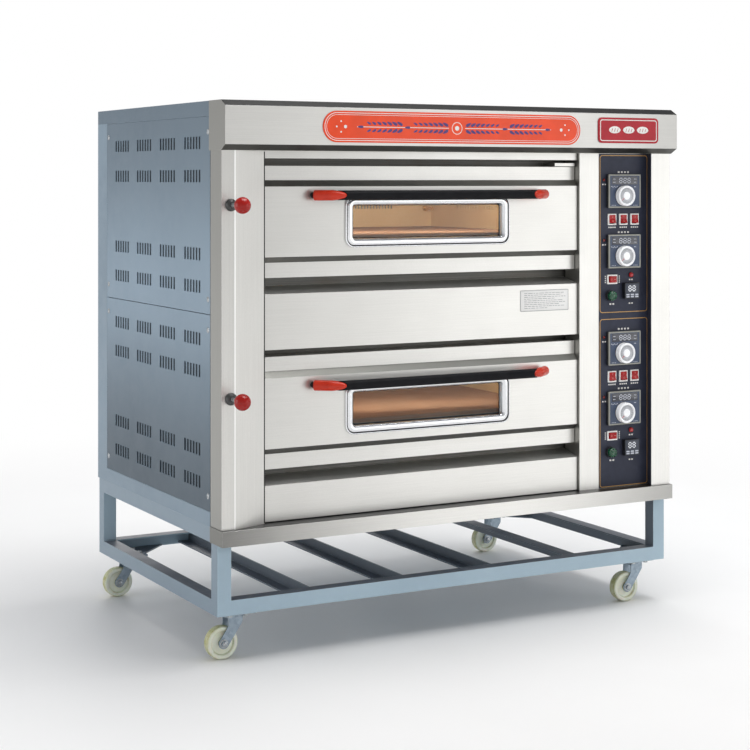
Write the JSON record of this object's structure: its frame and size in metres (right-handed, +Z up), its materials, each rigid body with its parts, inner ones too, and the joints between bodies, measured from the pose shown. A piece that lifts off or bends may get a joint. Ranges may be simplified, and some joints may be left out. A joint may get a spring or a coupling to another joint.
{
  "type": "deck oven",
  "caption": "Two-deck gas bakery oven with drop-down windowed doors, dampers, dials and rocker switches, on a wheeled steel stand.",
  "frame": {"origin": "on the floor, under the middle of the overall footprint (damper ball to flue spigot, caster to crown end)", "axes": "+Z up, +Y from the front towards the back, +X to the right seen from the front"},
  "size_m": [1.342, 0.988, 1.344],
  "materials": {
    "stand_paint": "satin",
    "zinc_plate": "satin",
    "body_paint": "satin",
    "galvanised_sheet": "matt spangle",
    "stainless": "brushed",
    "stainless_inner": "brushed, heat tinted",
    "red_enamel": "gloss",
    "chamber_steel": "satin",
    "hearth_steel": "matt",
    "mineral_wool": "fibrous",
    "gas_pipe": "satin",
    "control_sheet": "satin",
    "black_plastic": "satin gloss",
    "chrome_trim": "bright",
    "window_glass": "clear",
    "red_plastic": "gloss",
    "silver_dial": "satin",
    "green_plastic": "gloss",
    "ivory_nylon": "satin"
  },
  "bodies": {
    "oven": {"stand_frame": "stand_paint", "stand_shelf_bars": "stand_paint", "caster_top_plates": "zinc_plate", "body_frame": "body_paint", "base_skirt": "stainless", "side_panel_left": "body_paint", "side_panel_right": "body_paint", "back_panel": "galvanised_sheet", "top_cover": "body_paint", "crown_fascia": "stainless", "name_plates": "red_enamel", "left_pillar": "stainless", "right_pillar": "stainless", "front_panels": "stainless", "chamber_liners": "chamber_steel", "hearth_plates": "hearth_steel", "insulation": "mineral_wool", "gas_train": "gas_pipe", "flue_stack": "galvanised_sheet", "control_plate": "control_sheet", "control_modules": "black_plastic", "damper_collars": "black_plastic", "hinge_brackets": "zinc_plate", "fasteners": "zinc_plate"},
    "door_upper_assembly": {"door_upper_skin": "stainless", "door_upper_liner": "stainless_inner", "door_upper_bezel": "chrome_trim", "door_upper_glass": "window_glass", "door_upper_handle": "black_plastic", "door_upper_caps": "red_plastic"},
    "damper_upper_rod": {"damper_upper": "red_plastic"},
    "door_lower_assembly": {"door_lower_skin": "stainless", "door_lower_liner": "stainless_inner", "door_lower_bezel": "chrome_trim", "door_lower_glass": "window_glass", "door_lower_handle": "black_plastic", "door_lower_caps": "red_plastic"},
    "damper_lower_rod": {"damper_lower": "red_plastic"},
    "dial_upper_top_body": {"dial_upper_top": "silver_dial"},
    "dial_upper_bottom_body": {"dial_upper_bottom": "silver_dial"},
    "dial_lower_top_body": {"dial_lower_top": "silver_dial"},
    "dial_lower_bottom_body": {"dial_lower_bottom": "silver_dial"},
    "rocker_upper_a_body": {"rocker_upper_a": "red_plastic"},
    "rocker_upper_b_body": {"rocker_upper_b": "red_plastic"},
    "rocker_upper_c_body": {"rocker_upper_c": "red_plastic"},
    "rocker_upper_d_body": {"rocker_upper_d": "red_plastic"},
    "rocker_lower_a_body": {"rocker_lower_a": "red_plastic"},
    "rocker_lower_b_body": {"rocker_lower_b": "red_plastic"},
    "rocker_lower_c_body": {"rocker_lower_c": "red_plastic"},
    "rocker_lower_d_body": {"rocker_lower_d": "red_plastic"},
    "button_upper_body": {"button_upper": "green_plastic"},
    "button_lower_body": {"button_lower": "green_plastic"},
    "fork_fl_body": {"fork_fl": "zinc_plate"},
    "fork_fr_body": {"fork_fr": "zinc_plate"},
    "fork_rl_body": {"fork_rl": "zinc_plate"},
    "fork_rr_body": {"fork_rr": "zinc_plate"},
    "wheel_fl_body": {"wheel_fl": "ivory_nylon"},
    "wheel_fr_body": {"wheel_fr": "ivory_nylon"},
    "wheel_rl_body": {"wheel_rl": "ivory_nylon"},
    "wheel_rr_body": {"wheel_rr": "ivory_nylon"}
  },
  "joints": [
    {"name": "chamber_door_lower", "type": "hinge", "parent": "oven", "child": "door_lower_assembly", "pos_m": [-0.072, -0.332, 0.457], "axis": [1, 0, 0], "range_deg": [0, 90], "stiffness_Nm_per_rad": 4, "springref_deg": -28.65},
    {"name": "chamber_door_upper", "type": "hinge", "parent": "oven", "child": "door_upper_assembly", "pos_m": [-0.072, -0.332, 0.922], "axis": [1, 0, 0], "range_deg": [0, 90], "stiffness_Nm_per_rad": 4, "springref_deg": -28.65},
    {"name": "damper_lower_pull", "type": "slide", "parent": "oven", "child": "damper_lower_rod", "axis": [0, -1, 0], "range_m": [0, 0.06]},
    {"name": "damper_upper_pull", "type": "slide", "parent": "oven", "child": "damper_upper_rod", "axis": [0, -1, 0], "range_m": [0, 0.06]},
    {"name": "dial_upper_top_turn", "type": "hinge", "parent": "oven", "child": "dial_upper_top_body", "pos_m": [0.5258, -0.387, 1.1105], "axis": [0, 1, 0], "range_deg": [0, 270]},
    {"name": "dial_upper_bottom_turn", "type": "hinge", "parent": "oven", "child": "dial_upper_bottom_body", "pos_m": [0.5258, -0.387, 0.948], "axis": [0, 1, 0], "range_deg": [0, 270]},
    {"name": "dial_lower_top_turn", "type": "hinge", "parent": "oven", "child": "dial_lower_top_body", "pos_m": [0.5258, -0.387, 0.6865], "axis": [0, 1, 0], "range_deg": [0, 270]},
    {"name": "dial_lower_bottom_turn", "type": "hinge", "parent": "oven", "child": "dial_lower_bottom_body", "pos_m": [0.5258, -0.387, 0.5255], "axis": [0, 1, 0], "range_deg": [0, 270]},
    {"name": "push_upper", "type": "slide", "parent": "oven", "child": "button_upper_body", "axis": [0, 1, 0], "range_m": [0, 0.003]},
    {"name": "rocker_upper_a_tilt", "type": "hinge", "parent": "oven", "child": "rocker_upper_a_body", "pos_m": [0.494, -0.375, 1.0466], "axis": [1, 0, 0], "range_deg": [0, 14], "stiffness_Nm_per_rad": 0.02, "springref_deg": -5.73},
    {"name": "rocker_upper_b_tilt", "type": "hinge", "parent": "oven", "child": "rocker_upper_b_body", "pos_m": [0.5315, -0.375, 1.0466], "axis": [1, 0, 0], "range_deg": [0, 14], "stiffness_Nm_per_rad": 0.02, "springref_deg": -5.73},
    {"name": "rocker_upper_c_tilt", "type": "hinge", "parent": "oven", "child": "rocker_upper_c_body", "pos_m": [0.569, -0.375, 1.0466], "axis": [1, 0, 0], "range_deg": [0, 14], "stiffness_Nm_per_rad": 0.02, "springref_deg": -5.73},
    {"name": "rocker_upper_d_tilt", "type": "hinge", "parent": "oven", "child": "rocker_upper_d_body", "pos_m": [0.4946, -0.375, 0.885], "axis": [0, 0, -1], "range_deg": [0, 14], "stiffness_Nm_per_rad": 0.02, "springref_deg": -5.73},
    {"name": "push_lower", "type": "slide", "parent": "oven", "child": "button_lower_body", "axis": [0, 1, 0], "range_m": [0, 0.003]},
    {"name": "rocker_lower_a_tilt", "type": "hinge", "parent": "oven", "child": "rocker_lower_a_body", "pos_m": [0.494, -0.375, 0.6226], "axis": [1, 0, 0], "range_deg": [0, 14], "stiffness_Nm_per_rad": 0.02, "springref_deg": -5.73},
    {"name": "rocker_lower_b_tilt", "type": "hinge", "parent": "oven", "child": "rocker_lower_b_body", "pos_m": [0.5315, -0.375, 0.6226], "axis": [1, 0, 0], "range_deg": [0, 14], "stiffness_Nm_per_rad": 0.02, "springref_deg": -5.73},
    {"name": "rocker_lower_c_tilt", "type": "hinge", "parent": "oven", "child": "rocker_lower_c_body", "pos_m": [0.569, -0.375, 0.6226], "axis": [1, 0, 0], "range_deg": [0, 14], "stiffness_Nm_per_rad": 0.02, "springref_deg": -5.73},
    {"name": "rocker_lower_d_tilt", "type": "hinge", "parent": "oven", "child": "rocker_lower_d_body", "pos_m": [0.4946, -0.375, 0.4636], "axis": [0, 0, -1], "range_deg": [0, 14], "stiffness_Nm_per_rad": 0.02, "springref_deg": -5.73},
    {"name": "swivel_fl", "type": "hinge", "parent": "oven", "child": "fork_fl_body", "pos_m": [-0.597, -0.332, 0.105], "axis": [0, 0, 1], "continuous": true},
    {"name": "wheel_fl_spin", "type": "hinge", "parent": "fork_fl_body", "child": "wheel_fl_body", "pos_m": [-0.631, -0.332, 0.04], "axis": [0, 1, 0], "continuous": true},
    {"name": "swivel_fr", "type": "hinge", "parent": "oven", "child": "fork_fr_body", "pos_m": [0.603, -0.332, 0.105], "axis": [0, 0, 1], "continuous": true},
    {"name": "wheel_fr_spin", "type": "hinge", "parent": "fork_fr_body", "child": "wheel_fr_body", "pos_m": [0.569, -0.332, 0.04], "axis": [0, 1, 0], "continuous": true},
    {"name": "swivel_rl", "type": "hinge", "parent": "oven", "child": "fork_rl_body", "pos_m": [-0.597, 0.383, 0.105], "axis": [0, 0, 1], "continuous": true},
    {"name": "wheel_rl_spin", "type": "hinge", "parent": "fork_rl_body", "child": "wheel_rl_body", "pos_m": [-0.631, 0.383, 0.04], "axis": [0, 1, 0], "continuous": true},
    {"name": "swivel_rr", "type": "hinge", "parent": "oven", "child": "fork_rr_body", "pos_m": [0.603, 0.383, 0.105], "axis": [0, 0, 1], "continuous": true},
    {"name": "wheel_rr_spin", "type": "hinge", "parent": "fork_rr_body", "child": "wheel_rr_body", "pos_m": [0.569, 0.383, 0.04], "axis": [0, 1, 0], "continuous": true}
  ]
}
